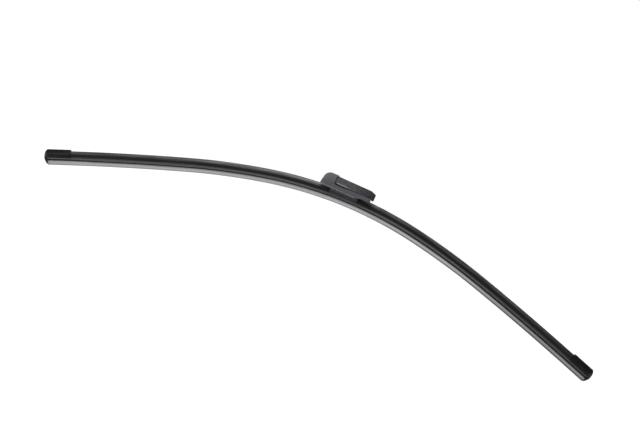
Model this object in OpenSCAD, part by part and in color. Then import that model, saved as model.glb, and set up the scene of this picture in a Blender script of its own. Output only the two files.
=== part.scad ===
// Beam wiper blade. Two bowed spring rails grip a rubber strip along its neck, two spoiler
// profiles and a base bracket clip over the rails, and a cap closes each end. An adapter for
// the wiper arm swings on a pin across the base bracket. The origin is on the adapter's flat
// top, above the pin, with +X along the blade towards the adapter's tail and +Z up to the arm.

/* [Bow] */
// Half length of the rubber strip, along the rails
half_len = 321; // [280:1:380]
// Radius of the middle stretch
mid_r = 445; // [400:5:600]
// Radius of the shoulder stretches
shoulder_r = 762; // [640:2:1000]
// Radius of the outer stretches
outer_r = 2800; // [1500:50:5000]
// Length of the middle radius, each side of the pin
mid_run = 86; // [60:1:110]
// Length of each shoulder radius
shoulder_run = 84; // [60:1:110]

/* [Rubber strip] */
// Height of the wiping lip
lip_h = 4.6; // [4:0.1:6]
// Width of the wiping edge
lip_edge_w = 0.8; // [0.6:0.1:1.2]
// Width of the lip at its top
lip_top_w = 3.8; // [3:0.1:4.4]
// Height of the flexing web over the lip
web_h = 1.0; // [0.8:0.1:1.4]
// Thickness of the flexing web
web_w = 1.0; // [0.8:0.1:1.6]
// Height of the shoulder under the rails
shoulder_h = 3.35; // [2.9:0.05:4]
// Width of the shoulder
shoulder_w = 6.4; // [5.6:0.1:6.8]
// Width of the neck between the rails
neck_w = 2.4; // [2:0.1:3]
// Width of the head over the rails
head_w = 4.6; // [4:0.1:5.4]
// Height of the head
head_h = 1.5; // [1.2:0.1:2]

/* [Rails] */
// Width of one rail
rail_w = 4.0; // [3.6:0.1:5]
// Thickness of a rail
rail_t = 0.9; // [0.7:0.05:1.1]
// Depth of the notch that the end cap snaps into
notch_depth = 0.8; // [0.5:0.1:1.2]

/* [Spoiler] */
// Height of the ridge over the rails
spoiler_rise = 5.3; // [4.5:0.1:7]
// Width of the ridge
ridge_w = 2.2; // [1.6:0.1:3]
// Radius of the hollow flanks
flank_r = 12; // [9:0.5:20]
// Wall of the claws outside the rails
claw_wall = 0.95; // [0.8:0.05:1.4]
// Thickness of the claws under the rails
claw_under = 0.75; // [0.5:0.05:1]
// Depth of the line along each claw
line_depth = 0.35; // [0.2:0.05:0.5]

/* [End caps] */
// Length of a cap along the strip
cap_len = 25.5; // [20:0.5:34]
// Length of the spoiler held in a cap
cap_grip = 12; // [8:0.5:15]
// Wall of a cap over the spoiler
cap_wall = 0.75; // [0.6:0.05:1.2]
// Height of a cap over the ridge
cap_rise = 1.4; // [1:0.1:2]
// Swell of the end wall past the strip
end_swell = 3.2; // [2.6:0.1:4]
// Radius of the end wall, seen from the side
end_r = 14; // [12:0.5:18]

/* [Base bracket] */
// Length of the bracket
base_len = 31; // [26:1:36]
// Wall outside the rails
base_wall = 1.15; // [0.9:0.05:1.5]
// Height of the bracket's deck over the rails
deck_rise = 4.0; // [3.4:0.1:4.4]
// Width of the lug that carries the pin
lug_w = 8.6; // [7:0.2:9]
// Radius of the lug round the pin
lug_r = 3.4; // [3:0.1:3.6]
// Height of the pin over the rails
pin_rise = 6.0; // [5.6:0.1:6.6]
// Diameter of the pin
pin_d = 4.4; // [4:0.1:4.6]
// Length of the pin
pin_len = 13.4; // [12.4:0.2:13.4]

/* [Arm adapter] */
// Height of the arm seat over the pin
seat_rise = 11.1; // [10.8:0.1:13]
// Thickness of the arm's sheet, and so of the step at the nose
arm_sheet = 0.95; // [0.8:0.05:1.2]
// Distance from the pin to the foot of the nose
nose_reach = 28.3; // [26:0.1:34]
// Lean of the nose's front wall
nose_lean = 9.7; // [0:0.1:15]
// Radius from the front wall to the top of the nose
nose_r = 7.75; // [5:0.25:8.5]
// Distance from the pin to the rear edge of the nose
nose_back = 12.2; // [10:0.1:14]
// Distance from the pin to the end of the tail
tail_reach = 31.7; // [30:0.1:36]
// Distance from the pin to the end of the side skirts
skirt_reach = 28.8; // [26:0.1:29]
// Depth of the skirts under the arm seat
skirt_depth = 14.25; // [13.8:0.05:15]
// Wall of the nose and the skirts
skirt_wall = 1.3; // [1:0.05:1.6]
// Height of the side faces that the arm slides over
slide_h = 7.8; // [7:0.1:8.4]
// Wall of the plug-in block
block_wall = 1.4; // [1:0.1:1.8]
// Radius of the block's and nose's top edges
edge_r = 1.2; // [0.6:0.1:2]

/* [Swing] */
// Tilt of the blade against the adapter, as it stands
blade_tilt = -2.3; // [-4:0.1:4]
// Swing of the blade each way from level
swing = 5.5; // [4:0.1:6.5]

/* [Fits] */
// Play between the rubber and the rails
play = 0.05; // [0.03:0.01:0.1]
// Play between clipped parts
clip_play = 0.1; // [0.08:0.01:0.15]
// Radial play of the pin in the adapter
pin_play = 0.05; // [0.03:0.01:0.09]
// Gap between parts that swing past each other
swing_gap = 0.35; // [0.3:0.05:0.5]
// Gap between the skirts and the base bracket
skirt_play = 0.8; // [0.5:0.1:1.2]

/* [Hidden] */
$fn = 96;
far = 60;   // reach of a cutting shape past what it cuts
eps = 0.02; // overlap of cutting shapes
seam = 0.02; // slit between the stretches of a bowed section
bridge_len = 1; // length of the core that bridges a slit

// Heights over the wiping edge
web_top = lip_h + web_h;
shoulder_top = web_top + shoulder_h;
rail_bottom = shoulder_top + play;
rail_top = rail_bottom + rail_t;
spine_h = rail_bottom + rail_t / 2;
head_bottom = rail_top + play;
head_top = head_bottom + head_h;
ridge_h = rail_top + spoiler_rise;
claw_bottom = rail_bottom - clip_play - claw_under;
cap_top = ridge_h + clip_play + cap_rise;
deck_h = rail_top + deck_rise;
pin_h = rail_top + pin_rise;

// Half widths
rail_in = neck_w / 2 + play;
rail_out = rail_in + rail_w;
slot_out = rail_out + clip_play;
spoiler_half = slot_out + claw_wall;
base_half = slot_out + base_wall;
cap_half = spoiler_half + clip_play + cap_wall;
skirt_in = base_half + skirt_play;
skirt_out = skirt_in + skirt_wall;
block_half = skirt_out - arm_sheet;
lug_half = lug_w / 2;
boss_in = lug_half + swing_gap;

// Bow of the spine, measured in the blade's own frame from the point over the pin
tip_run = cap_len + 2;
angle_mid = mid_run / mid_r * 180 / PI;
angle_shoulder = angle_mid + shoulder_run / shoulder_r * 180 / PI;
outer_run = half_len - tip_run - mid_run - shoulder_run;
angle_tip = angle_shoulder + outer_run / outer_r * 180 / PI;
function up(angle) = [sin(angle), cos(angle)];
centre_mid = [0, spine_h - mid_r];
centre_shoulder = centre_mid + (mid_r - shoulder_r) * up(angle_mid);
centre_outer = centre_shoulder + (shoulder_r - outer_r) * up(angle_shoulder);
tip_start = centre_outer + outer_r * up(angle_tip);

// Points of a round stretch, and an outline made whole by its mirror image
function arc(centre, r, from, to, steps = 16) =
    [for (i = [0:steps]) centre + r * [cos(from + (to - from) * i / steps),
                                       sin(from + (to - from) * i / steps)]];
function mirrored(points) =
    concat(points, [for (i = [len(points) - 1:-1:0]) [-points[i].x, points[i].y]]);

// Lays a section, drawn as width and height over the wiping edge, along a round stretch
module along_arc(centre, r, from, to) {
    translate([centre.x, 0, centre.y]) rotate([90, 0, 0])
        rotate_extrude(angle = to - from, start = 90 - to, $fn = 256)
            translate([r - spine_h, 0]) rotate(-90) children();
}

module at_tip() {
    translate([tip_start.x, 0, tip_start.y]) rotate([0, angle_tip, 0])
        translate([tip_run, 0, -spine_h]) children();
}

module along_x(from, to) {
    translate([from, 0, 0]) rotate([90, 0, 90]) linear_extrude(to - from) children();
}

module along_y(width) {
    rotate([90, 0, 0]) linear_extrude(width, center = true) children();
}

// The stretches of one half stand a hair's slit apart, and a core bridges each slit inside
function late(angle, r) = angle + seam / r * 180 / PI;
module bridge(centre, r, angle) {
    translate([centre.x, 0, centre.y]) rotate([0, angle, 0])
        translate([0, 0, r - spine_h]) along_x(-bridge_len / 2, bridge_len / 2) children();
}

// Children are the section and its core
module along_outer_half(tip_end = 0) {
    along_arc(centre_shoulder, shoulder_r, late(angle_mid, shoulder_r), angle_shoulder)
        children(0);
    along_arc(centre_outer, outer_r, late(angle_shoulder, outer_r), angle_tip) children(0);
    at_tip() along_x(seam - tip_run, tip_end) children(0);
    bridge(centre_mid, mid_r, angle_mid) children(1);
    bridge(centre_shoulder, shoulder_r, angle_shoulder) children(1);
    bridge(centre_outer, outer_r, angle_tip) children(1);
}

module along_blade() {
    along_arc(centre_mid, mid_r, -angle_mid, angle_mid) children(0);
    for (side = [0, 1]) mirror([side, 0, 0]) along_outer_half() {
        children(0);
        children(1);
    }
}

// The blade's own frame, swung about the pin and hung under the adapter
module on_blade() {
    translate([0, 0, -seat_rise]) rotate([0, blade_tilt, 0]) translate([0, 0, -pin_h])
        children();
}

// Wiping rubber: lip, flexing web, beaded shoulder, neck and head in one extrusion
bead_h = 0.7;
bead_w = shoulder_w - 0.6;
bead_line_w = shoulder_w - 1.2;
bead_line_h = 0.35;
module rubber_section() {
    polygon(mirrored([
        [lip_edge_w / 2, 0],
        [lip_edge_w / 2 + 0.1, lip_h * 0.45],
        [lip_top_w / 2, lip_h - 0.5],
        [lip_top_w / 2, lip_h],
        [web_w / 2, lip_h],
        [web_w / 2, web_top],
        [bead_w / 2, web_top],
        [bead_w / 2, web_top + bead_h],
        [bead_line_w / 2, web_top + bead_h],
        [bead_line_w / 2, web_top + bead_h + bead_line_h],
        [shoulder_w / 2, web_top + bead_h + bead_line_h],
        [shoulder_w / 2, shoulder_top],
        [neck_w / 2, shoulder_top],
        [neck_w / 2, head_bottom],
        [head_w / 2, head_bottom],
        [head_w / 2 - 0.3, head_top]]));
}

module rubber_core() {
    translate([-bead_line_w / 2 + 0.4, web_top + 0.4])
        square([bead_line_w - 0.8, shoulder_h - 0.8]);
}

module wiping_rubber() {
    color("dimgray") on_blade() along_blade() {
        rubber_section();
        rubber_core();
    }
}

// Spring rails, with a notch near each end for the cap's catch
notch_from = -8.8;
notch_to = -6.2;
module rail_section(inset = 0) {
    translate([rail_in + inset, rail_bottom + inset])
        square([rail_w - 2 * inset, rail_t - 2 * inset]);
}

module rail() {
    difference() {
        along_blade() {
            rail_section();
            rail_section(0.2);
        }
        for (side = [0, 1]) mirror([side, 0, 0]) at_tip()
            translate([notch_from, rail_out - notch_depth, 0])
                cube([notch_to - notch_from, rail_w, far]);
    }
}

module rail_back() {
    color("silver") on_blade() rail();
}

module rail_front() {
    color("silver") on_blade() mirror([0, 1, 0]) rail();
}

// Room for the rails and the rubber's shoulder and head inside what clips over them
module rail_channel() {
    translate([-slot_out, rail_bottom - clip_play])
        square([2 * slot_out, rail_t + 2 * clip_play]);
    translate([-shoulder_w / 2 - clip_play, 0])
        square([shoulder_w + 2 * clip_play, rail_bottom]);
    translate([-head_w / 2 - clip_play, rail_bottom])
        square([head_w + 2 * clip_play, head_top + clip_play - rail_bottom]);
}

// Spoiler: claws round the rails, and hollow flanks that meet at a narrow ridge
flank_h = rail_top + 0.6;
flank_foot = [spoiler_half, flank_h];
flank_tip = [ridge_w / 2, ridge_h];
flank_run = flank_foot - flank_tip;
flank_out = [-flank_run.y, flank_run.x] / norm(flank_run);
flank_centre = (flank_foot + flank_tip) / 2
    + flank_out * sqrt(flank_r * flank_r - pow(norm(flank_run) / 2, 2));
module spoiler_outline(grow = 0) {
    difference() {
        translate([-spoiler_half - grow, claw_bottom - grow])
            square([2 * (spoiler_half + grow), ridge_h - claw_bottom + 2 * grow]);
        for (side = [-1, 1]) translate([side * flank_centre.x, flank_centre.y])
            circle(flank_r - grow);
    }
}

module spoiler_section() {
    difference() {
        spoiler_outline();
        rail_channel();
        for (side = [-1, 1]) translate([side * spoiler_half, rail_bottom + rail_t / 2])
            square([2 * line_depth, rail_t], center = true);
    }
}

spoiler_start = (base_len / 2 + clip_play) / mid_r * 180 / PI;
module spoiler_core() {
    foot = head_top + clip_play + 0.4;
    translate([-ridge_w / 2 + 0.3, foot]) square([ridge_w - 0.6, ridge_h - 0.4 - foot]);
}

module spoiler() {
    along_arc(centre_mid, mid_r, spoiler_start, angle_mid) spoiler_section();
    along_outer_half(cap_grip - cap_len) {
        spoiler_section();
        spoiler_core();
    }
}

module spoiler_right() {
    color("#1c1c1e") on_blade() spoiler();
}

module spoiler_left() {
    color("#1c1c1e") on_blade() mirror([1, 0, 0]) spoiler();
}

// End caps: a sleeve over the spoiler and the rails with a swollen full-height end wall
cap_bottom = claw_bottom - clip_play - cap_wall;
cap_roof_h = flank_h + 0.7;
wall_bottom = 1.0;
wall_foot = 0.5;
swell_h = cap_top / 2;
inner_slant = 1.4;
module cap_side() {
    polygon(concat(
        [[-cap_len, cap_bottom], [-cap_len + inner_slant, cap_top]],
        arc([end_swell - end_r, swell_h], end_r, asin(swell_h / end_r), -asin(2.4 / end_r)),
        [[clip_play + wall_foot, wall_bottom], [clip_play, wall_bottom],
         [clip_play, cap_bottom]]));
}

module cap_front() {
    polygon(mirrored([
        [2.2, wall_bottom], [3.4, wall_bottom + 1.2], [3.9, cap_bottom],
        [cap_half - 0.5, cap_bottom], [cap_half, cap_bottom + 0.5],
        [cap_half, cap_roof_h], [cap_half - 0.5, cap_roof_h + 1],
        [ridge_w / 2 + 1.7, cap_top - 0.5], [ridge_w / 2 + 1, cap_top]]));
}

// Seen from above, the sides turn in towards the end wall past the strip's end
turn_in_from = -0.9;
turn_in = 3.2;
module cap_plan() {
    polygon([[-far, -cap_half], [turn_in_from, -cap_half], [end_swell, turn_in - cap_half],
             [end_swell, cap_half - turn_in], [turn_in_from, cap_half], [-far, cap_half]]);
}

// A small recess on each side marks the catch that snaps into the rail's notch
mark_len = 2;
mark_h = 1.4;
mark_depth = 0.8;
module end_cap() {
    difference() {
        intersection() {
            along_y(2 * cap_half + 1) cap_side();
            along_x(-far, far) cap_front();
            translate([0, 0, -far]) linear_extrude(2 * far) cap_plan();
        }
        along_x(-far, cap_grip - cap_len + clip_play) spoiler_outline(clip_play);
        along_x(-far, clip_play) rail_channel();
        for (side = [-1, 1])
            translate([(notch_from + notch_to) / 2, side * cap_half, rail_top + mark_h / 2])
                cube([mark_len, 2 * mark_depth, mark_h], center = true);
    }
    for (side = [-1, 1])
        translate([notch_from + clip_play, side * (slot_out + clip_play / 2), rail_bottom])
            translate([0, side > 0 ? -notch_depth : -clip_play, -clip_play - eps])
                cube([notch_to - notch_from - 2 * clip_play, notch_depth + clip_play,
                      rail_t + 2 * clip_play + 2 * eps]);
}

module end_cap_right() {
    color("#141415") on_blade() at_tip() end_cap();
}

module end_cap_left() {
    color("#141415") on_blade() mirror([1, 0, 0]) at_tip() end_cap();
}

// Base bracket: a saddle bowed like the rails, with a lug that holds the pin
base_angle = base_len / 2 / mid_r * 180 / PI;
claw_chamfer = 0.8;
module base_section() {
    difference() {
        polygon(mirrored([
            [base_half - claw_chamfer, claw_bottom],
            [base_half, claw_bottom + claw_chamfer],
            [base_half, deck_h - 0.5],
            [base_half - 0.5, deck_h]]));
        rail_channel();
    }
}

lug_foot = 8;
lug_neck = lug_r - 0.3;
module lug_side() {
    translate([0, pin_h]) circle(lug_r);
    polygon(mirrored([[lug_foot, head_top + 1], [lug_foot, deck_h],
                      [lug_neck, pin_h - 1], [lug_neck, pin_h]]));
}

module across_pin(r, width) {
    translate([0, 0, pin_h]) rotate([90, 0, 0]) cylinder(r = r, h = width, center = true);
}

boss_r = 3.2;
module base_bracket() {
    color("#4a4a4e") on_blade() difference() {
        union() {
            difference() {
                along_arc(centre_mid, mid_r, -base_angle, base_angle) base_section();
                difference() {
                    across_pin(boss_r + swing_gap, far);
                    cube([far, lug_w, far], center = true);
                }
            }
            along_y(lug_w) lug_side();
        }
        across_pin(pin_d / 2, far);
    }
}

// Pin, pressed in the lug, with chamfered ends
pin_chamfer = 0.4;
module pivot_pin() {
    color("silver") translate([0, 0, -seat_rise]) rotate([90, 0, 0])
        rotate_extrude() polygon([
            [0, -pin_len / 2], [pin_d / 2 - pin_chamfer, -pin_len / 2],
            [pin_d / 2, -pin_len / 2 + pin_chamfer], [pin_d / 2, pin_len / 2 - pin_chamfer],
            [pin_d / 2 - pin_chamfer, pin_len / 2], [0, pin_len / 2]]);
}

// Height under the arm seat that a blade point at distance x reaches at full swing
function swept(x, h) = h - pin_h - seat_rise - x * x / mid_r / 2 + abs(x) * sin(swing);

// Adapter shroud: a hollow nose, and two skirts that hang over the base bracket. A ledge
// along each skirt keeps a groove under the block, closed behind by a shelf
border_x = -nose_back - 1.7;
groove_w = 1.3;
groove_taper = 0.9;
groove_depth = 0.8;
skirt_lift = 1.9;
skirt_lift_from = 11;
skirt_lift_run = 7;
plan_r = 4;
plug_len = 0.8;
shelf_w = 1.3;
shelf_h = 2.8;
shelf_top = -slide_h - play;
module shroud_side() {
    front = -nose_reach;
    centre_z = arm_sheet - nose_r;
    centre_x = front + (centre_z + skirt_depth) * tan(nose_lean) + nose_r / cos(nose_lean);
    heel_r = 1.6;
    polygon(concat(
        [[front + 1, -skirt_depth], [front, -skirt_depth + 0.8]],
        arc([centre_x, centre_z], nose_r, 180 - nose_lean, 90, 24),
        [[-nose_back, arm_sheet], [-nose_back, -0.1], [border_x, -1.6]],
        arc([border_x + heel_r, heel_r - slide_h - groove_w], heel_r, 180, 270, 6),
        [[skirt_reach, -slide_h - groove_w + groove_taper],
         [skirt_reach, -skirt_depth + skirt_lift],
         [skirt_lift_from + skirt_lift_run, -skirt_depth + skirt_lift - 0.1],
         [skirt_lift_from, -skirt_depth]]));
}

module nose_plan(front, half, r) {
    polygon(concat(
        arc([front + r, half - r], r, 180, 90, 8), [[far, half]],
        [[far, -half]], arc([front + r, r - half], r, 270, 180, 8)));
}

module shroud_form() {
    intersection() {
        along_y(2 * skirt_out) shroud_side();
        along_x(-far, far) polygon(mirrored(concat(
            [[skirt_out, -far]],
            arc([skirt_out - edge_r, arm_sheet - edge_r], edge_r, 0, 90, 6))));
        translate([0, 0, -far]) linear_extrude(2 * far)
            nose_plan(-nose_reach, skirt_out, plan_r);
    }
}

// Hollow inside the nose and between the skirts, open below
module nose_cavity() {
    front = skirt_wall - nose_reach;
    roof = arm_sheet - skirt_wall;
    round_r = nose_r - skirt_wall;
    intersection() {
        along_y(2 * skirt_in) polygon(concat(
            [[front, -far]],
            arc([front + round_r + 2, roof - round_r], round_r, 160, 90, 8),
            [[far, roof], [far, -far]]));
        translate([0, 0, -far]) linear_extrude(2 * far)
            nose_plan(front, skirt_in, plan_r - skirt_wall);
    }
}

// Opening in the front wall that clears the spoiler at full swing
module nose_mouth() {
    rise = swept(nose_reach, 0) + swing_gap;
    along_x(-far, plan_r + 2 - nose_reach) polygon(mirrored([
        [spoiler_half + swing_gap, -far],
        [spoiler_half + swing_gap, flank_h + rise],
        [ridge_w / 2 + 3 * swing_gap, ridge_h + rise]]));
}

// Inner bosses for the pin, cut back above the ledge so that none shows in the groove
module skirt_bosses() {
    width = skirt_in + 0.2 - boss_in;
    for (side = [0, 1]) mirror([0, side, 0]) difference() {
        translate([0, boss_in + width / 2, -seat_rise]) rotate([90, 0, 0])
            cylinder(r = boss_r, h = width, center = true);
        translate([-far / 2, block_half - groove_depth, -slide_h - groove_w]) cube(far);
    }
}

module skirt_shelves() {
    from = border_x - plug_len;
    foot = shelf_top - shelf_h;
    for (side = [0, 1]) mirror([0, side, 0])
        along_x(from, skirt_reach - 0.4) polygon([
            [skirt_in - shelf_w, foot], [skirt_in + 0.2, foot],
            [skirt_in + 0.2, -slide_h - groove_w], [block_half - groove_depth, -slide_h - groove_w],
            [block_half - groove_depth, shelf_top], [skirt_in - shelf_w, shelf_top]]);
}

module adapter_shroud() {
    color("#57565c") difference() {
        union() {
            difference() {
                shroud_form();
                nose_cavity();
                nose_mouth();
            }
            skirt_bosses();
            skirt_shelves();
        }
        translate([0, 0, -seat_rise]) rotate([90, 0, 0])
            cylinder(r = pin_d / 2 + pin_play, h = pin_len + 2 * clip_play, center = true);
    }
}

// Adapter block: a hollow block that the arm's channel end slides over, up to the nose
lead_in = 5.9;
lead_drop = 2.0;
hook_len = 2.4;
block_from = border_x + clip_play;
inner_half = block_half - block_wall;
module block_side() {
    tail_z = swept(tail_reach, ridge_h) + swing_gap;
    polygon([
        [-nose_back + clip_play, 0],
        [tail_reach - lead_in, 0],
        [tail_reach - 0.5, -lead_drop],
        [tail_reach, -lead_drop - 0.6],
        [tail_reach, tail_z],
        [tail_reach - hook_len, tail_z],
        [tail_reach - hook_len, -slide_h],
        [block_from + 1.6, -slide_h],
        [block_from + 0.4, -slide_h + 0.6],
        [block_from, -slide_h + 1.4],
        [block_from, -1.7]]);
}

module block_form() {
    intersection() {
        along_y(2 * block_half) block_side();
        along_x(-far, far) polygon(mirrored(concat(
            [[block_half, -far]],
            arc([block_half - edge_r, -edge_r], edge_r, 0, 90, 6))));
        translate([0, 0, -far]) linear_extrude(2 * far) polygon([
            [-far, -block_half], [tail_reach - lead_in, -block_half],
            [tail_reach, 1 - block_half], [tail_reach, block_half - 1],
            [tail_reach - lead_in, block_half], [-far, block_half]]);
    }
}

// Room inside the block, lower and narrower under the tail's lead-in
module block_hollow() {
    from = block_from + block_wall;
    to = tail_reach - hook_len;
    tail_half = inner_half - 0.6;
    translate([from, -inner_half, -far])
        cube([to - from - lead_in + 2, 2 * inner_half, far - block_wall]);
    translate([from, -tail_half, -far])
        cube([to - from, 2 * tail_half, far - block_wall - lead_drop]);
}

// Slanted slots that free the lower corner of each side as a springy latch
latch_len = 9.2;
latch_run = 5.1;
latch_rise = 2.6;
latch_gap = 0.9;
module latch_slots() {
    foot = [tail_reach - latch_len, -slide_h];
    head = foot + [latch_run, latch_rise];
    slope = (head - foot) / norm(head - foot);
    side = [slope.y, -slope.x] * latch_gap;
    along_y(far) polygon([foot - slope, head, head + side, foot - slope + side]);
}

// Plug at the block's front, held inside the hollow nose and narrower behind the groove
plug_step = 1.6;
module block_plug() {
    half = skirt_in - clip_play;
    narrow = block_half - groove_depth;
    top = arm_sheet - skirt_wall - clip_play;
    along_x(block_from - plug_len, block_from + block_wall + 0.2) polygon(mirrored([
        [narrow, -slide_h], [narrow, plug_step - slide_h], [half, plug_step - slide_h],
        [half, top]]));
}

// Ribs inside the block, the long one deeper at the tail, and tongues that reach down inside
// the shroud's shelves
rib_t = 1.2;
rib_foot = 1.2;
module block_ribs() {
    from = block_from + block_wall - 0.2;
    to = tail_reach - hook_len + 0.2;
    deep_from = boss_r + 13.8;
    foot = rib_foot - slide_h;
    roof = 0.2 - block_wall;
    for (x = [boss_r + 4.8, deep_from])
        translate([x, -inner_half - 0.2, foot]) cube([rib_t, 2 * inner_half + 0.4, roof - foot]);
    translate([from, -rib_t / 2, foot]) cube([to - from, rib_t, roof - lead_drop - foot]);
    translate([deep_from, -rib_t / 2, -slide_h - groove_w])
        cube([to - deep_from, rib_t, groove_w + rib_foot + 1]);
}

tongue_t = 1.0;
tongue_drop = 2.4;
module block_tongues() {
    outer = skirt_in - shelf_w - clip_play;
    for (side = [0, 1]) mirror([0, side, 0])
        for (run = [[block_from + 2.2, -boss_r - 1.8], [boss_r + 2.8, tail_reach - 10.7]])
            along_x(run[0], run[1]) polygon([
                [outer - tongue_t, -slide_h - tongue_drop], [outer, -slide_h - tongue_drop],
                [outer, -slide_h], [block_half - 0.2, -slide_h],
                [block_half - 0.2, rib_foot - slide_h], [outer - tongue_t, rib_foot - slide_h]]);
}

module adapter_block() {
    color("#414044") {
        difference() {
            block_form();
            block_hollow();
            latch_slots();
        }
        block_plug();
        block_ribs();
        block_tongues();
    }
}

wiping_rubber();
rail_front();
rail_back();
spoiler_left();
spoiler_right();
end_cap_left();
end_cap_right();
base_bracket();
pivot_pin();
adapter_shroud();
adapter_block();
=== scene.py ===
import math

import bmesh
import bpy
from mathutils import Matrix, Vector


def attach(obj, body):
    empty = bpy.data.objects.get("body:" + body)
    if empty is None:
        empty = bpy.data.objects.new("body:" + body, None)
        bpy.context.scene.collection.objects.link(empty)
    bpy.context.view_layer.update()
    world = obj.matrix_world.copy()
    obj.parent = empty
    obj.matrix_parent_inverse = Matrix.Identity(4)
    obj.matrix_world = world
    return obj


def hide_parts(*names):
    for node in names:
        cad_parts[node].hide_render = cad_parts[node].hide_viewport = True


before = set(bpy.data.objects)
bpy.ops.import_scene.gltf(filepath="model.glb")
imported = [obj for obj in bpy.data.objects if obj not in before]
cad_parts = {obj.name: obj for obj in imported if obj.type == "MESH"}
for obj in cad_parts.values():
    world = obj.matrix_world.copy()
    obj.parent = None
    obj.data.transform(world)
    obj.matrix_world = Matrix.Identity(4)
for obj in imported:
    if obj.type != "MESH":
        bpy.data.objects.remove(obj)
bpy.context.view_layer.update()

# Wiping rubber: one long extrusion of black EPDM rubber. A thin web lets the lip fold over,
# and the beaded shoulder above it lies under the rails. The lip is dusted with graphite, so
# it is a greyer rubber, and its pale grey is partly painted reflection of the white surround.
MM = 0.001
HALF_LENGTH = 321.0
LIP_EDGE_HALF = 0.4
LIP_WAIST = 2.07
LIP_HALF = 1.9
LIP_TOP = 4.6
WEB_HALF = 0.5
WEB_TOP = 5.6
BEAD_HALF = 2.9
BEAD_TOP = 6.3
LINE_HALF = 2.6
LINE_TOP = 6.65
SHOULDER_HALF = 3.2
SHOULDER_TOP = 8.95
NECK_HALF = 1.2
HEAD_BOTTOM = 9.95
HEAD_HALF = 2.3
HEAD_TOP = 11.45


def linear(code):
    # A hex sRGB colour as linear values
    channels = [int(code[i:i + 2], 16) / 255 for i in (1, 3, 5)]
    return [c / 12.92 if c <= 0.04045 else ((c + 0.055) / 1.055) ** 2.4 for c in channels] + [1.0]


def add(tree, kind, inputs=None, **settings):
    # An input takes a plain value, a socket, or a node, whose first output it then takes
    node = tree.nodes.new(kind)
    for name, value in settings.items():
        setattr(node, name, value)
    for name, value in (inputs or {}).items():
        if isinstance(value, bpy.types.Node):
            value = value.outputs[0]
        if isinstance(value, bpy.types.NodeSocket):
            tree.links.new(value, node.inputs[name])
        else:
            node.inputs[name].default_value = value
    return node


def new_material(name):
    material = bpy.data.materials.new(name)
    material.use_nodes = True
    material.node_tree.nodes.clear()
    return material, material.node_tree


# The blade's bow as a rule on straight pieces: x is the way along the strip, z the height over
# the wiping edge. Three round stretches a side turn the strip, and past them it runs straight.
BOW_SIZES = {"Mid radius": 445.0, "Mid run": 86.0, "Shoulder radius": 762.0,
             "Shoulder run": 84.0, "Outer radius": 2800.0, "Outer run": 123.5,
             "Spine height": 9.45, "Pin height": 15.9, "Seat over pin": 11.1,
             "Tilt": math.radians(-2.3)}
bow = bpy.data.node_groups.new("bow_of_the_blade", "GeometryNodeTree")
bow.interface.new_socket("Geometry", in_out="INPUT", socket_type="NodeSocketGeometry")
for label in BOW_SIZES:
    bow.interface.new_socket(label, in_out="INPUT", socket_type="NodeSocketFloat")
bow.interface.new_socket("Finish", in_out="INPUT", socket_type="NodeSocketMaterial")
bow.interface.new_socket("Geometry", in_out="OUTPUT", socket_type="NodeSocketGeometry")
given = add(bow, "NodeGroupInput").outputs
parts = add(bow, "ShaderNodeSeparateXYZ", {0: add(bow, "GeometryNodeInputPosition")}).outputs
along = add(bow, "ShaderNodeMath", {0: parts[0], 1: MM}, operation="DIVIDE")
side = add(bow, "ShaderNodeMath", {0: along}, operation="SIGN")
left = add(bow, "ShaderNodeMath", {0: along}, operation="ABSOLUTE")
# The spine's way out and up so far, and the angle that it has turned. A round stretch from
# angle a to angle b goes radius * (sin b - sin a) out and radius * (cos b - cos a) up.
OUT, UP = 0, 1
spine = [0.0, 0.0]
turned = 0.0
for stretch in ("Mid", "Shoulder", "Outer"):
    radius, length = given[stretch + " radius"], given[stretch + " run"]
    step = add(bow, "ShaderNodeMath", {0: left, 1: length}, operation="MINIMUM")
    turn = add(bow, "ShaderNodeMath", {0: step, 1: radius}, operation="DIVIDE")
    ahead = add(bow, "ShaderNodeMath", {0: turned, 1: turn}, operation="ADD")
    for way, wave in ((OUT, "SINE"), (UP, "COSINE")):
        after = add(bow, "ShaderNodeMath", {0: ahead}, operation=wave)
        before = add(bow, "ShaderNodeMath", {0: turned}, operation=wave)
        change = add(bow, "ShaderNodeMath", {0: after, 1: before}, operation="SUBTRACT")
        gain = add(bow, "ShaderNodeMath", {0: radius, 1: change}, operation="MULTIPLY")
        spine[way] = add(bow, "ShaderNodeMath", {0: spine[way], 1: gain}, operation="ADD")
    left = add(bow, "ShaderNodeMath", {0: left, 1: step}, operation="SUBTRACT")
    turned = ahead
# What is left of the strip runs straight on, and a point stands square off the spine
sine = add(bow, "ShaderNodeMath", {0: turned}, operation="SINE")
cosine = add(bow, "ShaderNodeMath", {0: turned}, operation="COSINE")
over = add(bow, "ShaderNodeMath", {0: parts[2], 1: MM}, operation="DIVIDE")
over = add(bow, "ShaderNodeMath", {0: over, 1: given["Spine height"]}, operation="SUBTRACT")
for way, reach, share, sign in ((OUT, left, cosine, "ADD"), (UP, left, sine, "SUBTRACT"),
                                (OUT, over, sine, "ADD"), (UP, over, cosine, "ADD")):
    gain = add(bow, "ShaderNodeMath", {0: reach, 1: share}, operation="MULTIPLY")
    spine[way] = add(bow, "ShaderNodeMath", {0: spine[way], 1: gain}, operation=sign)
from_pin = add(bow, "ShaderNodeMath", {0: given["Spine height"], 1: given["Pin height"]},
               operation="SUBTRACT")
height = add(bow, "ShaderNodeMath", {0: spine[UP], 1: from_pin}, operation="ADD")
height = add(bow, "ShaderNodeMath", {0: height, 1: MM}, operation="MULTIPLY")
outward = add(bow, "ShaderNodeMath", {0: spine[OUT], 1: side}, operation="MULTIPLY")
outward = add(bow, "ShaderNodeMath", {0: outward, 1: MM}, operation="MULTIPLY")
bowed = add(bow, "ShaderNodeCombineXYZ", {0: outward, 1: parts[1], 2: height})
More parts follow.
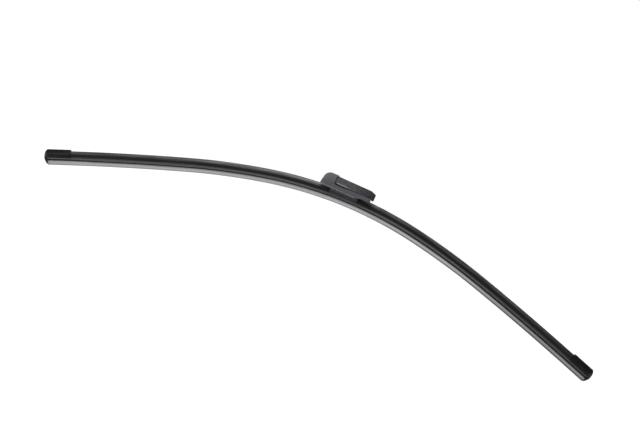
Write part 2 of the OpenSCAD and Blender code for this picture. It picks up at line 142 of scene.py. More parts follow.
moved = add(bow, "GeometryNodeSetPosition", {0: given["Geometry"], "Position": bowed})
below = add(bow, "ShaderNodeMath", {0: given["Seat over pin"], 1: -MM}, operation="MULTIPLY")
hung = add(bow, "GeometryNodeTransform", {
    "Geometry": moved, "Translation": add(bow, "ShaderNodeCombineXYZ", {2: below}),
    "Rotation": add(bow, "ShaderNodeCombineXYZ", {1: given["Tilt"]})})
real = add(bow, "GeometryNodeRealizeInstances", {0: hung})
dressed = add(bow, "GeometryNodeSetMaterial", {"Geometry": real, "Material": given["Finish"]})
add(bow, "NodeGroupOutput", {0: dressed})


def bend(piece, finish):
    # Bows a straight piece, and keeps the result as its mesh
    modifier = piece.modifiers.new("bow", "NODES")
    modifier.node_group = bow
    for item in bow.interface.items_tree:
        if item.name in BOW_SIZES:
            modifier[item.identifier] = BOW_SIZES[item.name]
        elif item.name == "Finish":
            modifier[item.identifier] = finish
    shape = piece.evaluated_get(bpy.context.evaluated_depsgraph_get())
    mesh = bpy.data.meshes.new_from_object(shape)
    piece.modifiers.remove(modifier)
    piece.data = mesh


def mirrored(points):
    return points + [(-y, z) for y, z in reversed(points)]


NEARLY_STRAIGHT = math.radians(160)
LARGEST_SHARE = 0.45


def rounded(points, reach, steps=3):
    # Each sharp corner becomes a short curve, which takes at most that share of each edge
    outline = []
    for index, (y, z) in enumerate(points):
        corner = Vector((y, z))
        before = Vector(points[index - 1]) - corner
        after = Vector(points[(index + 1) % len(points)]) - corner
        if before.angle(after) > NEARLY_STRAIGHT:
            outline.append((y, z))
            continue
        near = min(reach, LARGEST_SHARE * before.length, LARGEST_SHARE * after.length)
        start = corner + before.normalized() * near
        end = corner + after.normalized() * near
        for step in range(steps + 1):
            t = step / steps
            outline.append(tuple((1 - t) ** 2 * start + 2 * t * (1 - t) * corner + t * t * end))
    return outline


def strip(name, outline, stations):
    # A straight prism of the outline, with a ring of points at each station along x
    mesh = bpy.data.meshes.new(name)
    count = len(outline)
    points = [(x * MM, y * MM, z * MM) for x in stations for y, z in outline]
    faces = [(ring * count + i, ring * count + (i + 1) % count,
              (ring + 1) * count + (i + 1) % count, (ring + 1) * count + i)
             for ring in range(len(stations) - 1) for i in range(count)]
    faces.append(tuple(reversed(range(count))))
    faces.append(tuple(range(len(points) - count, len(points))))
    mesh.from_pydata(points, [], faces)
    heights = mesh.attributes.new("section_height", "FLOAT", "POINT")
    runs = mesh.attributes.new("run", "FLOAT", "POINT")
    for index in range(len(points)):
        heights.data[index].value = outline[index % count][1]
        runs.data[index].value = stations[index // count]
    work = bmesh.new()
    work.from_mesh(mesh)
    bmesh.ops.recalc_face_normals(work, faces=work.faces)
    work.to_mesh(mesh)
    work.free()
    piece = bpy.data.objects.new(name, mesh)
    bpy.context.scene.collection.objects.link(piece)
    return piece


def evenly(start, end, spacing=3.0):
    count = max(2, round(abs(end - start) / spacing) + 1)
    return [start + (end - start) * i / (count - 1) for i in range(count)]


def shade(piece, crease):
    piece.data.polygons.foreach_set("use_smooth", [True] * len(piece.data.polygons))
    piece.data.set_sharp_from_angle(angle=math.radians(crease))


def by_place(tree, place, stops):
    # Colours, or shares from 0 to 1, at places in millimetres, and blended in between
    low, high = stops[0][0], stops[-1][0]
    way = add(tree, "ShaderNodeMapRange", {"Value": place, "From Min": low, "From Max": high})
    ramp = add(tree, "ShaderNodeValToRGB", {0: way})
    for spot, _ in stops[1:-1]:
        ramp.color_ramp.elements.new((spot - low) / (high - low))
    for element, (spot, value) in zip(ramp.color_ramp.elements, stops):
        element.color = linear(value) if isinstance(value, str) else (value, value, value, 1.0)
    return ramp


def gritty_skin(tree, spots, grit, strength, depth):
    # A fine grit all over the surface, with its width and depth in millimetres
    grain = add(tree, "ShaderNodeTexNoise", {"Vector": spots, "Scale": 1 / (grit * MM)})
    return add(tree, "ShaderNodeBump", {
        "Height": grain, "Strength": strength, "Distance": depth * MM})


graphite, tree = new_material("graphite_dusted_rubber")
level = add(tree, "ShaderNodeAttribute", attribute_name="section_height").outputs["Fac"]
run = add(tree, "ShaderNodeAttribute", attribute_name="run").outputs["Fac"]

# The greys by height. The lip's pale grey is partly painted reflection, palest across its
# middle. Two fine pale lines along the shoulder are painted highlights, and the web and the
# shoulder's top under the claws hold painted shade. Past the middle painted shade darkens the
# lip's edge and deepens at the foot, and one highlight line is left. Towards the right end
# painted shade dims the strip, and by the left cap painted light brightens the lip's top.
shoulder_greys = [(4.6, "#48484a"), (5.7, "#242426"), (6.2, "#9a9a9c"), (6.6, "#48484a"),
                  (7.1, "#808082"), (7.6, "#565658"), (8.2, "#343436"), (8.9, "#0c0c0c"),
                  (11.5, "#0c0c0c")]
foot_shade_greys = [(5.6, "#121213"), (6.15, "#1a1a1c"), (6.8, "#929294"), (7.2, "#727274"),
               (7.7, "#565658"), (8.2, "#4c4c4e"), (8.9, "#0c0c0c"), (11.5, "#0c0c0c")]
even = by_place(tree, level, [(0.0, "#9c9c9e"), (0.9, "#a8a8aa"), (2.0, "#cacacc"),
                              (3.0, "#bebec0"), (3.6, "#a6a6a8"), (4.4, "#7c7c7e")]
                + shoulder_greys)
right_half_shade = by_place(tree, level, [(0.0, "#5c5c5e"), (1.1, "#808082"), (2.1, "#c4c4c6"),
                              (3.0, "#cacacc"), (4.4, "#787879"), (4.6, "#48484a")]
                + foot_shade_greys)
right_end_shade_greys = by_place(tree, level, [(0.0, "#4c4c4e"), (1.4, "#68686a"), (2.5, "#a0a0a2"),
                              (3.3, "#a6a6a8"), (4.4, "#646466"), (4.6, "#404042"),
                              (5.6, "#0c0c0d"), (6.15, "#141415"), (6.8, "#7e7e80"),
                              (7.2, "#565658"), (8.2, "#3c3c3e"), (8.9, "#0c0c0c"),
                              (11.5, "#0c0c0c")])
left_cap_light = by_place(tree, level, [(0.0, "#9c9c9e"), (0.9, "#a8a8aa"), (2.0, "#cacacc"),
                               (3.0, "#c4c4c6"), (4.1, "#bababc"), (4.4, "#b0b0b2"),
                               (4.7, "#8a8a8c")] + foot_shade_greys)
past_middle = add(tree, "ShaderNodeMapRange", {"Value": run, "From Max": 90.0})
to_tail = add(tree, "ShaderNodeMapRange", {"Value": run, "From Min": 125.0, "From Max": 225.0})
to_left = add(tree, "ShaderNodeMapRange", {"Value": run, "From Min": -270.0, "From Max": -295.0})
# Sockets of a Mix node that blends two colours
FIRST, SECOND, BLEND = 6, 7, 2
tone = even.outputs[0]
for amount, greys in ((past_middle, right_half_shade), (to_tail, right_end_shade_greys), (to_left, left_cap_light)):
    tone = add(tree, "ShaderNodeMix", {"Factor": amount, FIRST: tone, SECOND: greys},
               data_type="RGBA").outputs[BLEND]
# Painted shade on the shoulder under the base, where the claws overhang it
under_base = by_place(tree, run, [(-HALF_LENGTH, 0.0), (-40.0, 0.0), (-16.0, 0.456),
                                  (16.0, 0.456), (40.0, 0.0), (HALF_LENGTH, 0.0)])
over_web = by_place(tree, level, [(0.0, 0.0), (WEB_TOP, 0.0), (6.0, 1.0), (HEAD_TOP, 1.0)])
under_base_shade = add(tree, "ShaderNodeMath", {0: under_base, 1: over_web}, operation="MULTIPLY")
tone = add(tree, "ShaderNodeMix", {
    "Factor": under_base_shade, FIRST: tone, SECOND: linear("#1c1c1d")}, data_type="RGBA").outputs[BLEND]
# The dust lies in faint streaks, drawn out along the strip
STREAK_WIDTH = 0.9
STREAK_STRETCH = 0.03
drawn = add(tree, "ShaderNodeMath", {0: run, 1: STREAK_STRETCH}, operation="MULTIPLY")
drawn = add(tree, "ShaderNodeCombineXYZ", {0: drawn, 1: level})
dust = add(tree, "ShaderNodeTexNoise", {
    "Vector": drawn, "Scale": 1 / STREAK_WIDTH, "Detail": 4.0})
streaks = add(tree, "ShaderNodeMapRange", {
    "Value": dust, "From Min": 0.35, "From Max": 0.7, "To Max": 0.22})
tone = add(tree, "ShaderNodeMix", {
    "Factor": streaks, FIRST: tone, SECOND: linear("#4a4a4c")}, data_type="RGBA").outputs[BLEND]
spots = add(tree, "ShaderNodeTexCoord").outputs["Object"]
skin = gritty_skin(tree, spots, grit=0.4, strength=0.15, depth=0.05)
coat = add(tree, "ShaderNodeBsdfPrincipled", {
    "Base Color": tone, "Roughness": 0.55, "IOR": 1.36, "Normal": skin})
add(tree, "ShaderNodeOutputMaterial", {"Surface": coat})

rubber_outline = rounded(mirrored([
    (LIP_EDGE_HALF, 0.0), (LIP_EDGE_HALF + 0.1, LIP_WAIST), (LIP_HALF, LIP_TOP - 0.5),
    (LIP_HALF, LIP_TOP), (WEB_HALF, LIP_TOP), (WEB_HALF, WEB_TOP), (BEAD_HALF, WEB_TOP),
    (BEAD_HALF, BEAD_TOP), (LINE_HALF, BEAD_TOP), (LINE_HALF, LINE_TOP),
    (SHOULDER_HALF, LINE_TOP), (SHOULDER_HALF, SHOULDER_TOP), (NECK_HALF, SHOULDER_TOP),
    (NECK_HALF, HEAD_BOTTOM), (HEAD_HALF, HEAD_BOTTOM), (HEAD_HALF - 0.3, HEAD_TOP)]),
    reach=0.15)
rubber = strip("rubber_strip", rubber_outline, evenly(-HALF_LENGTH, HALF_LENGTH))
bend(rubber, graphite)
shade(rubber, crease=35)
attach(rubber, "blade")
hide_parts("wiping_rubber")

# Spring rails: two strips of bare spring steel, out of sight in the grooves of the rubber and
# under the claws. They have the dull grain that rolling leaves along a strip.
ROLLED_GRAIN = 0.3
ROLLED_STRETCH = 0.04
steel, tree = new_material("rolled_spring_steel")
spots = add(tree, "ShaderNodeTexCoord").outputs["Object"]
drawn = add(tree, "ShaderNodeMapping", {"Vector": spots, "Scale": (ROLLED_STRETCH, 1.0, 1.0)})
grain = add(tree, "ShaderNodeTexNoise", {
    "Vector": drawn, "Scale": 1 / (ROLLED_GRAIN * MM), "Detail": 3.0})
rough = add(tree, "ShaderNodeMapRange", {"Value": grain, "To Min": 0.3, "To Max": 0.45})
metal = add(tree, "ShaderNodeBsdfPrincipled", {
    "Base Color": linear("#b9babc"), "Metallic": 1.0, "Roughness": rough})
add(tree, "ShaderNodeOutputMaterial", {"Surface": metal})
for rail in ("rail_front", "rail_back"):
    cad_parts[rail].data.materials.clear()
    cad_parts[rail].data.materials.append(steel)

# Base bracket: a saddle moulded in charcoal glass-filled plastic, clipped and bonded to the
# rails. Its skin is matte, with the cloudy tone that the fibres give. The claws carry painted
# shade, and so does the end towards the tail.
BASE_LENGTH = 31.0
FIBRE_CLOUD = 3.0
WELD_WITHIN = 0.001
FLAT_WITHIN = math.radians(0.5)
SHARP_OVER = math.radians(28)


def softened(node, width, finish, body):
    # A copy of the solid with its flat faces joined and its sharp edges rounded
    work = bmesh.new()
    work.from_mesh(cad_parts[node].data)
    bmesh.ops.remove_doubles(work, verts=work.verts, dist=WELD_WITHIN * MM)
    bmesh.ops.dissolve_limit(work, angle_limit=FLAT_WITHIN, verts=work.verts,
                             edges=work.edges, delimit={"NORMAL"})
    mesh = bpy.data.meshes.new(node + "_moulded")
    work.to_mesh(mesh)
    work.free()
    piece = bpy.data.objects.new(node + "_moulded", mesh)
    bpy.context.scene.collection.objects.link(piece)
    edges = piece.modifiers.new("edges", "BEVEL")
    edges.width = width * MM
    edges.segments = 2
    edges.limit_method = "ANGLE"
    edges.angle_limit = SHARP_OVER
    edges.use_clamp_overlap = True
    shape = piece.evaluated_get(bpy.context.evaluated_depsgraph_get())
    piece.data = bpy.data.meshes.new_from_object(shape)
    piece.modifiers.clear()
    piece.data.materials.clear()
    piece.data.materials.append(finish)
    shade(piece, crease=40)
    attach(piece, body)
    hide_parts(node)


def in_mm(tree, spots):
    # The place on the piece, as x, y and z in millimetres
    scaled = add(tree, "ShaderNodeVectorMath", {0: spots, 1: (1 / MM, 1 / MM, 1 / MM)},
                 operation="MULTIPLY")
    return add(tree, "ShaderNodeSeparateXYZ", {0: scaled}).outputs


filled, tree = new_material("glass_filled_charcoal")
spots = add(tree, "ShaderNodeTexCoord").outputs["Object"]
x, y, z = in_mm(tree, spots)
# Painted shade darkens the claws, low on the bracket
claws_up = by_place(tree, z, [(-19.0, "#0a0a0b"), (-17.0, "#0e0e10"), (-16.2, "#403f43"),
                              (-14.8, "#5c5b60"), (-13.0, "#605f64")])
cloud = add(tree, "ShaderNodeTexNoise", {
    "Vector": spots, "Scale": 1 / (FIBRE_CLOUD * MM), "Detail": 4.0})
fibres = add(tree, "ShaderNodeMapRange", {"Value": cloud, "From Min": 0.3, "From Max": 0.8})
tone = add(tree, "ShaderNodeMix", {
    "Factor": fibres, FIRST: claws_up, SECOND: linear("#222124")}, data_type="RGBA")
# Painted shade on the end towards the tail
base_tail_shade = by_place(tree, x, [(-20.0, 0.0), (6.0, 0.0), (14.0, 0.552), (20.0, 0.552)])
tone = add(tree, "ShaderNodeMix", {
    "Factor": base_tail_shade, FIRST: tone.outputs[BLEND], SECOND: linear("#121213")}, data_type="RGBA")
skin = gritty_skin(tree, spots, grit=0.3, strength=0.25, depth=0.04)
plastic = add(tree, "ShaderNodeBsdfPrincipled", {
    "Base Color": tone.outputs[BLEND], "Roughness": 0.6, "IOR": 1.38, "Normal": skin})
add(tree, "ShaderNodeOutputMaterial", {"Surface": plastic})
softened("base_bracket", width=0.25, finish=filled, body="blade")

# Pivot pin: turned from free-cutting steel, pressed across the lug, and out of sight there. The
# tool has left fine rings round it.
RING_PITCH = 0.25
WAVE_PITCH = 2 * math.pi / 20
turned_steel, tree = new_material("turned_pin_steel")
spots = add(tree, "ShaderNodeTexCoord").outputs["Object"]
rings = add(tree, "ShaderNodeTexWave", {
    "Vector": spots, "Scale": WAVE_PITCH / (RING_PITCH * MM)}, bands_direction="Y")
rings = rings.outputs["Fac"]
rough = add(tree, "ShaderNodeMapRange", {"Value": rings, "To Min": 0.22, "To Max": 0.36})
metal = add(tree, "ShaderNodeBsdfPrincipled", {
    "Base Color": linear("#c2c2c4"), "Metallic": 1.0, "Roughness": rough})
add(tree, "ShaderNodeOutputMaterial", {"Surface": metal})
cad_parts["pivot_pin"].data.materials.clear()
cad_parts["pivot_pin"].data.materials.append(turned_steel)

# Spoiler: two lengths of black elastomer profile that clip over the rails on each side of the
# base. The hollow flanks meet at a narrow ridge, and a fine line runs along each claw. The
# extruded skin is satin, with faint lines drawn by the die, and a painted sheen on the flanks.
CLAW_HALF = 6.3
CLAW_BOTTOM = 8.15
CLAW_LINE_HALF = 5.95
CLAW_LINE_BOTTOM = 9.0
CLAW_LINE_TOP = 9.9
FLANK_BOTTOM = 10.5
FLANK_RADIUS = 12.0
RIDGE_HALF = 1.1
RIDGE_TOP = 15.2
SHOULDER_ROOM = 3.3
SLOT_BOTTOM = 8.9
SLOT_HALF = 5.35
SLOT_TOP = 10.0
HEAD_ROOM = 2.4
HEAD_ROOM_TOP = 11.55
END_GAP = 0.1
CAP_LENGTH = 25.5
CAP_GRIP = 12.0
DIE_LINE_WIDTH = 0.8
DIE_LINE_STRETCH = 0.02
elastomer, tree = new_material("extruded_black_elastomer")
run = add(tree, "ShaderNodeAttribute", attribute_name="run").outputs["Fac"]
level = add(tree, "ShaderNodeAttribute", attribute_name="section_height").outputs["Fac"]
# Greys by height: painted shade in the claw line and at the foot of each flank, and a painted
# sheen high on the flank
flank_shading = by_place(tree, level, [(8.1, "#3c3c3e"), (8.55, "#58585a"), (8.9, "#0c0c0d"),
                              (10.2, "#0e0e0f"), (11.2, "#28282a"), (12.2, "#48484a"),
                              (14.2, "#646467"), (15.0, "#46464a"), (15.2, "#2a2a2c")])
flank_sheen = by_place(tree, level, [(8.1, "#2a2a2b"), (8.8, "#161617"), (9.0, "#060606"),
                               (10.2, "#18181a"), (11.2, "#3a3a3e"), (12.2, "#69696d"),
                               (13.4, "#8a8a8e"), (14.2, "#96969a"), (15.2, "#505052")])
# The painted sheen grows towards the base and stops just past it, and painted shade dulls the
# right end
sheen_share = by_place(tree, run, [(-HALF_LENGTH, 0.0), (-260.0, 0.0), (-165.0, 0.491),
                               (-110.0, 0.871), (-75.0, 1.0), (34.0, 1.0), (42.0, 0.0),
                               (HALF_LENGTH, 0.0)])
spoiler_right_shade = by_place(tree, run, [(-HALF_LENGTH, 0.0), (200.0, 0.0), (270.0, 0.491),
                            (HALF_LENGTH, 0.491)])
# The die's lines are drawn coarser than real ones, so that they show
drawn = add(tree, "ShaderNodeMath", {0: run, 1: DIE_LINE_STRETCH}, operation="MULTIPLY")
drawn = add(tree, "ShaderNodeCombineXYZ", {0: drawn, 1: level})
lines = add(tree, "ShaderNodeTexNoise", {
    "Vector": drawn, "Scale": 1 / DIE_LINE_WIDTH, "Detail": 3.0})
dark_lines = add(tree, "ShaderNodeMapRange", {
    "Value": lines, "From Min": 0.36, "From Max": 0.62, "To Min": 0.12, "To Max": 0.86})
tone = flank_shading.outputs[0]
for amount, colour in ((sheen_share, flank_sheen), (spoiler_right_shade, linear("#1c1c1d")),
                       (dark_lines, linear("#161617"))):
    tone = add(tree, "ShaderNodeMix", {"Factor": amount, FIRST: tone, SECOND: colour},
               data_type="RGBA").outputs[BLEND]
rough = add(tree, "ShaderNodeMapRange", {"Value": lines, "To Min": 0.34, "To Max": 0.48})
skin = add(tree, "ShaderNodeBump", {"Height": lines, "Strength": 0.2, "Distance": 0.05 * MM})
satin = add(tree, "ShaderNodeBsdfPrincipled", {
    "Base Color": tone, "Roughness": rough, "IOR": 1.25, "Normal": skin})
add(tree, "ShaderNodeOutputMaterial", {"Surface": satin})


def hollow_flank(steps=16):
    # The arc from the foot of the flank up to the ridge, hollow towards the outside
    foot, tip = Vector((CLAW_HALF, FLANK_BOTTOM)), Vector((RIDGE_HALF, RIDGE_TOP))
    middle, run_up = (foot + tip) / 2, tip - foot
    outward = Vector((run_up.y, -run_up.x)).normalized()
    centre = middle + outward * math.sqrt(FLANK_RADIUS ** 2 - (run_up.length / 2) ** 2)
    start = math.atan2(foot.y - centre.y, foot.x - centre.x) % (2 * math.pi)
    end = math.atan2(tip.y - centre.y, tip.x - centre.x) % (2 * math.pi)
    return [(centre.x + FLANK_RADIUS * math.cos(start + (end - start) * i / steps),
             centre.y + FLANK_RADIUS * math.sin(start + (end - start) * i / steps))
            for i in range(steps + 1)]


claw = [(SHOULDER_ROOM, CLAW_BOTTOM), (CLAW_HALF, CLAW_BOTTOM), (CLAW_HALF, CLAW_LINE_BOTTOM),
        (CLAW_LINE_HALF, CLAW_LINE_BOTTOM), (CLAW_LINE_HALF, CLAW_LINE_TOP),
        (CLAW_HALF, CLAW_LINE_TOP)]
channel = [(-SHOULDER_ROOM, SLOT_BOTTOM), (-SLOT_HALF, SLOT_BOTTOM), (-SLOT_HALF, SLOT_TOP),
           (-HEAD_ROOM, SLOT_TOP), (-HEAD_ROOM, HEAD_ROOM_TOP)]
spoiler_outline = rounded(mirrored(claw + hollow_flank()) + mirrored(channel), reach=0.2)
inner_end = BASE_LENGTH / 2 + END_GAP
outer_end = HALF_LENGTH - CAP_LENGTH + CAP_GRIP
for node, sense in (("spoiler_right", 1), ("spoiler_left", -1)):
    stations = evenly(sense * inner_end, sense * outer_end)
    profile = strip(node + "_profile", spoiler_outline, stations)
    bend(profile, elastomer)
    shade(profile, crease=30)
    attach(profile, "blade")
    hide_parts(node)

# End caps: injection-moulded black nylon, snapped over the rails. The moulded skin is smooth
# and a little glossier than the elastomer, with softly broken edges.
FLOW_CLOUD = 9.0
nylon, tree = new_material("moulded_black_nylon")
spots = add(tree, "ShaderNodeTexCoord").outputs["Object"]
flow = add(tree, "ShaderNodeTexNoise", {
    "Vector": spots, "Scale": 1 / (FLOW_CLOUD * MM), "Detail": 3.0})
tone = add(tree, "ShaderNodeMix", {
    "Factor": flow, FIRST: linear("#0e0e0f"), SECOND: linear("#1a1a1b")}, data_type="RGBA")
skin = gritty_skin(tree, spots, grit=0.25, strength=0.1, depth=0.03)
plastic = add(tree, "ShaderNodeBsdfPrincipled", {
    "Base Color": tone.outputs[BLEND], "Roughness": 0.4, "IOR": 1.24, "Normal": skin})
add(tree, "ShaderNodeOutputMaterial", {"Surface": plastic})
for node in ("end_cap_right", "end_cap_left"):
    softened(node, width=0.35, finish=nylon, body="blade")

# Adapter shroud: the nose and skirts, moulded in a fine-grained grey plastic with a violet
# cast. The spark-eroded mould leaves it dull all over. The skirts carry painted shade and a
# painted highlight on their lower edge, and the groove under the block painted shade.
GROOVE_SIDE = 7.3
GROOVE_START = -14.0
GROOVE_FLOOR = -9.3
SHROUD_CLOUD = 4.0
grained, tree = new_material("fine_grained_grey_plastic")
spots = add(tree, "ShaderNodeTexCoord").outputs["Object"]
x, y, z = in_mm(tree, spots)
# Greys by height: a painted highlight on the skirts' lower edge, and painted shade low on the
# skirts that fades upwards
upper = by_place(tree, z, [(-14.3, "#8c8b91"), (-13.9, "#7c7b81"), (-13.2, "#4d4c51"),
                           (-9.5, "#4e4d52"), (-6.0, "#5e5d63"), (1.0, "#636268")])
cloud = add(tree, "ShaderNodeTexNoise", {
    "Vector": spots, "Scale": 1 / (SHROUD_CLOUD * MM), "Detail": 4.0})
clouded = add(tree, "ShaderNodeMapRange", {
    "Value": cloud, "From Min": 0.35, "From Max": 0.8, "To Max": 0.6})
tone = add(tree, "ShaderNodeMix", {
    "Factor": clouded, FIRST: upper, SECOND: linear("#4a494e")}, data_type="RGBA")
# Painted shade lies deep in the groove behind the nose, and thinner towards the tail
behind = add(tree, "ShaderNodeMath", {0: x, 1: GROOVE_START}, operation="GREATER_THAN")
off_middle = add(tree, "ShaderNodeMath", {0: y}, operation="ABSOLUTE")
sunk = add(tree, "ShaderNodeMath", {0: off_middle, 1: GROOVE_SIDE}, operation="LESS_THAN")
above = add(tree, "ShaderNodeMath", {0: z, 1: GROOVE_FLOOR}, operation="GREATER_THAN")
thinning = by_place(tree, x, [(GROOVE_START, 1.0), (0.0, 1.0), (9.0, 0.332), (40.0, 0.332)])
groove_shade = behind
for limit in (sunk, above, thinning):
    groove_shade = add(tree, "ShaderNodeMath", {0: groove_shade, 1: limit}, operation="MULTIPLY")
# A little painted shade also lies on the edge of the ledge below the groove
ledge_edge = by_place(tree, z, [(-12.0, 0.0), (-9.7, 0.0), (-9.5, 1.0), (-8.0, 1.0)])
ledge_front = by_place(tree, x, [(-20.0, 0.0), (-12.1, 0.0), (-12.0, 1.0), (-4.0, 1.0),
                                 (5.0, 0.0), (40.0, 0.0)])
ledge_shade = add(tree, "ShaderNodeMath", {0: ledge_edge, 1: ledge_front}, operation="MULTIPLY")
groove_shade = add(tree, "ShaderNodeMath", {0: groove_shade, 1: ledge_shade}, operation="MAXIMUM")
tone = add(tree, "ShaderNodeMix", {
    "Factor": groove_shade, FIRST: tone.outputs[BLEND], SECOND: linear("#101011")}, data_type="RGBA")
skin = gritty_skin(tree, spots, grit=0.35, strength=0.3, depth=0.05)
plastic = add(tree, "ShaderNodeBsdfPrincipled", {
    "Base Color": tone.outputs[BLEND], "Roughness": 0.58, "IOR": 1.4, "Normal": skin})
add(tree, "ShaderNodeOutputMaterial", {"Surface": plastic})
softened("adapter_shroud", width=0.3, finish=grained, body="adapter")

# Adapter block: the plug-in part that the arm slides over, of the same kind of plastic in a
# darker batch. The arm has rubbed its sides cloudy. Its lower front edge carries a painted
# highlight, and the tail painted shade.
RUBBED_CLOUD = 3.4
rubbed, tree = new_material("rubbed_dark_grey_plastic")
spots = add(tree, "ShaderNodeTexCoord").outputs["Object"]
x, y, z = in_mm(tree, spots)
# Greys by height: lighter at the lower edge as a painted highlight, and darker towards the top
upper = by_place(tree, z, [(-8.0, "#6a696e"), (-7.0, "#504f54"), (-3.0, "#4c4b50"),
                           (0.0, "#48474c")])
cloud = add(tree, "ShaderNodeTexNoise", {
    "Vector": spots, "Scale": 1 / (RUBBED_CLOUD * MM), "Detail": 4.0})
clouded = add(tree, "ShaderNodeMapRange", {
    "Value": cloud, "From Min": 0.35, "From Max": 0.7, "To Max": 0.8})
# A painted highlight along the lower front edge, and painted shade on the tail
lower_edge = by_place(tree, z, [(-8.0, 1.0), (-7.4, 1.0), (-6.2, 0.0), (0.0, 0.0)])
front = by_place(tree, x, [(-20.0, 0.0), (-12.0, 0.0), (-10.4, 1.0), (-3.0, 1.0), (6.0, 0.0),
                           (34.0, 0.0)])
edge_highlight = add(tree, "ShaderNodeMath", {0: lower_edge, 1: front}, operation="MULTIPLY")
block_tail_shade = by_place(tree, x, [(-20.0, 0.0), (5.0, 0.0), (17.0, 0.434), (28.6, 0.745), (29.6, 1.0),
                          (34.0, 1.0)])
tone = upper.outputs[0]
for amount, code in ((clouded, "#2c2b30"), (edge_highlight, "#98979c"), (block_tail_shade, "#080809")):
    tone = add(tree, "ShaderNodeMix", {"Factor": amount, FIRST: tone, SECOND: linear(code)},
               data_type="RGBA").outputs[BLEND]
rough = add(tree, "ShaderNodeMapRange", {"Value": cloud, "To Min": 0.46, "To Max": 0.6})
skin = gritty_skin(tree, spots, grit=0.35, strength=0.25, depth=0.05)
plastic = add(tree, "ShaderNodeBsdfPrincipled", {
    "Base Color": tone, "Roughness": rough, "IOR": 1.4, "Normal": skin})
add(tree, "ShaderNodeOutputMaterial", {"Surface": plastic})
softened("adapter_block", width=0.3, finish=rubbed, body="adapter")

# Studio: a pale floor well below the blade, a white surround, and large soft lamps. Camera,
# glossy and transmitted rays see the white, and the floor still takes the shadow.
FLOOR_LEVEL = -0.34
FLOOR_REACH = 9.0
# How white the floor looks by itself, and how much of the surround's white lights the object
FLOOR_WHITE = 0.75
SKY_LIGHT = 0.5
paper, tree = new_material("pale_floor_paper")
path = add(tree, "ShaderNodeLightPath").outputs
seen = add(tree, "ShaderNodeMath", {0: path["Is Camera Ray"], 1: path["Is Glossy Ray"]},
           operation="MAXIMUM")
seen = add(tree, "ShaderNodeMath", {0: seen, 1: path["Is Transmission Ray"]},
           operation="MAXIMUM")
white = add(tree, "ShaderNodeMath", {0: seen, 1: FLOOR_WHITE}, operation="MULTIPLY")
glow = add(tree, "ShaderNodeEmission", {"Color": (1, 1, 1, 1), "Strength": white})
matte = add(tree, "ShaderNodeBsdfDiffuse", {"Color": linear("#d8d8d8")})
lit = add(tree, "ShaderNodeAddShader", {0: matte, 1: glow})
# From below the floor is clear, so that the blade's underside can be seen and lit
clear_below = add(tree, "ShaderNodeMixShader", {
    0: add(tree, "ShaderNodeNewGeometry").outputs["Backfacing"], 1: lit,
    2: add(tree, "ShaderNodeBsdfTransparent")})
add(tree, "ShaderNodeOutputMaterial", {"Surface": clear_below})
sheet = bpy.data.meshes.new("floor")
sheet.from_pydata([(x * FLOOR_REACH, y * FLOOR_REACH, FLOOR_LEVEL)
                   for x, y in ((-1, -1), (1, -1), (1, 1), (-1, 1))], [], [(0, 1, 2, 3)])
sheet.materials.append(paper)
floor = bpy.data.objects.new("floor", sheet)
bpy.context.scene.collection.objects.link(floor)

# Gloss mirrors a white room that darkens towards the ceiling and towards the viewer's side
world = bpy.data.worlds.new("white_surround")
world.use_nodes = True
tree = world.node_tree
tree.nodes.clear()
path = add(tree, "ShaderNodeLightPath").outputs
toward = add(tree, "ShaderNodeSeparateXYZ", {
    0: add(tree, "ShaderNodeTexCoord").outputs["Generated"]}).outputs
ceiling = add(tree, "ShaderNodeMapRange", {
    "Value": toward[2], "From Min": 0.15, "From Max": 0.55, "To Min": 1.0, "To Max": 0.15})
room = add(tree, "ShaderNodeMapRange", {
    "Value": toward[1], "From Min": -0.7, "From Max": 0.1, "To Min": 0.35, "To Max": 1.0})
glossy = add(tree, "ShaderNodeMath", {0: ceiling, 1: room}, operation="MULTIPLY")
glossy = add(tree, "ShaderNodeMath", {0: path["Is Glossy Ray"], 1: glossy}, operation="MULTIPLY")
spread = add(tree, "ShaderNodeMath", {0: path["Is Diffuse Ray"], 1: SKY_LIGHT},
             operation="MULTIPLY")
strength = path["Is Camera Ray"]
for rays in (path["Is Transmission Ray"], glossy, spread):
    strength = add(tree, "ShaderNodeMath", {0: strength, 1: rays}, operation="MAXIMUM")
sky = add(tree, "ShaderNodeBackground", {"Color": (1, 1, 1, 1), "Strength": strength})
add(tree, "ShaderNodeOutputWorld", {"Surface": sky})
bpy.context.scene.world = world

LAMP_AIM = Vector((0, 0, -0.05))


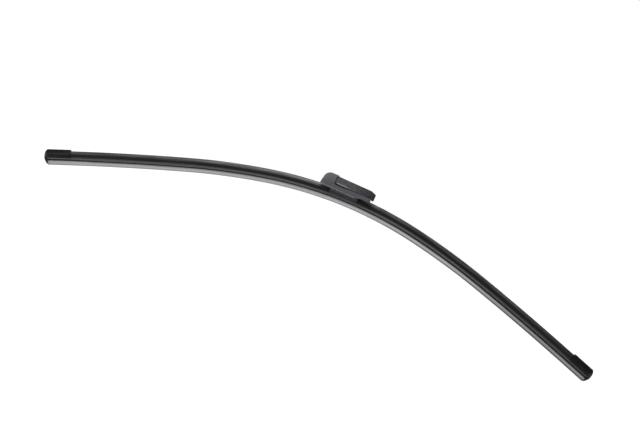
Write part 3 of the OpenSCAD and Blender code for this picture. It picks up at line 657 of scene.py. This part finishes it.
def soft_lamp(name, place_at, size, watts):
    lamp = bpy.data.lights.new(name, "AREA")
    lamp.shape = "RECTANGLE"
    lamp.size, lamp.size_y = size
    lamp.energy = watts
    body = bpy.data.objects.new(name, lamp)
    aim = LAMP_AIM - Vector(place_at)
    turn = aim.to_track_quat("-Z", "Y").to_matrix().to_4x4()
    body.matrix_world = Matrix.Translation(place_at) @ turn
    bpy.context.scene.collection.objects.link(body)


soft_lamp("key_lamp", place_at=(-0.9, -1.0, 1.1), size=(0.9, 0.7), watts=10)
soft_lamp("crest_lamp", place_at=(-0.35, -0.35, 1.5), size=(0.6, 0.5), watts=6)
soft_lamp("left_lamp", place_at=(-1.6, -0.9, 0.0), size=(0.6, 0.9), watts=7)
soft_lamp("right_lamp", place_at=(1.5, -1.1, 0.1), size=(0.6, 0.9), watts=4)

# Camera: a long lens at the photograph's angle, a little above the blade, and rolled so that
# the blade falls to the right as it does there.
LENS_MM = 70.0
SENSOR_MM = 36.0
PHOTO_WIDTH_PX = 640
DISTANCE = 1.321
ELEVATION = math.radians(2.0)
YAW = math.radians(-2.03)
ROLL = math.radians(24.21)
AIM = Vector((0, 0, -19 * MM))
AIM_RIGHT_PX = 22.3
AIM_UP_PX = 15.4
pixel = DISTANCE / (LENS_MM / SENSOR_MM * PHOTO_WIDTH_PX)
look = Vector((math.sin(YAW) * math.cos(ELEVATION), math.cos(YAW) * math.cos(ELEVATION),
               -math.sin(ELEVATION)))
level_right = Vector((math.cos(YAW), -math.sin(YAW), 0))
level_up = level_right.cross(look)
right = math.cos(ROLL) * level_right + math.sin(ROLL) * level_up
up = math.cos(ROLL) * level_up - math.sin(ROLL) * level_right
stand = AIM - look * DISTANCE - right * (AIM_RIGHT_PX * pixel) - up * (AIM_UP_PX * pixel)
lens = bpy.data.cameras.new("camera")
lens.lens = LENS_MM
camera = bpy.data.objects.new("camera", lens)
camera.matrix_world = Matrix((
    (right.x, up.x, -look.x, stand.x),
    (right.y, up.y, -look.y, stand.y),
    (right.z, up.z, -look.z, stand.z),
    (0, 0, 0, 1)))
bpy.context.scene.collection.objects.link(camera)
bpy.context.scene.camera = camera
bpy.context.scene.view_settings.view_transform = "Standard"
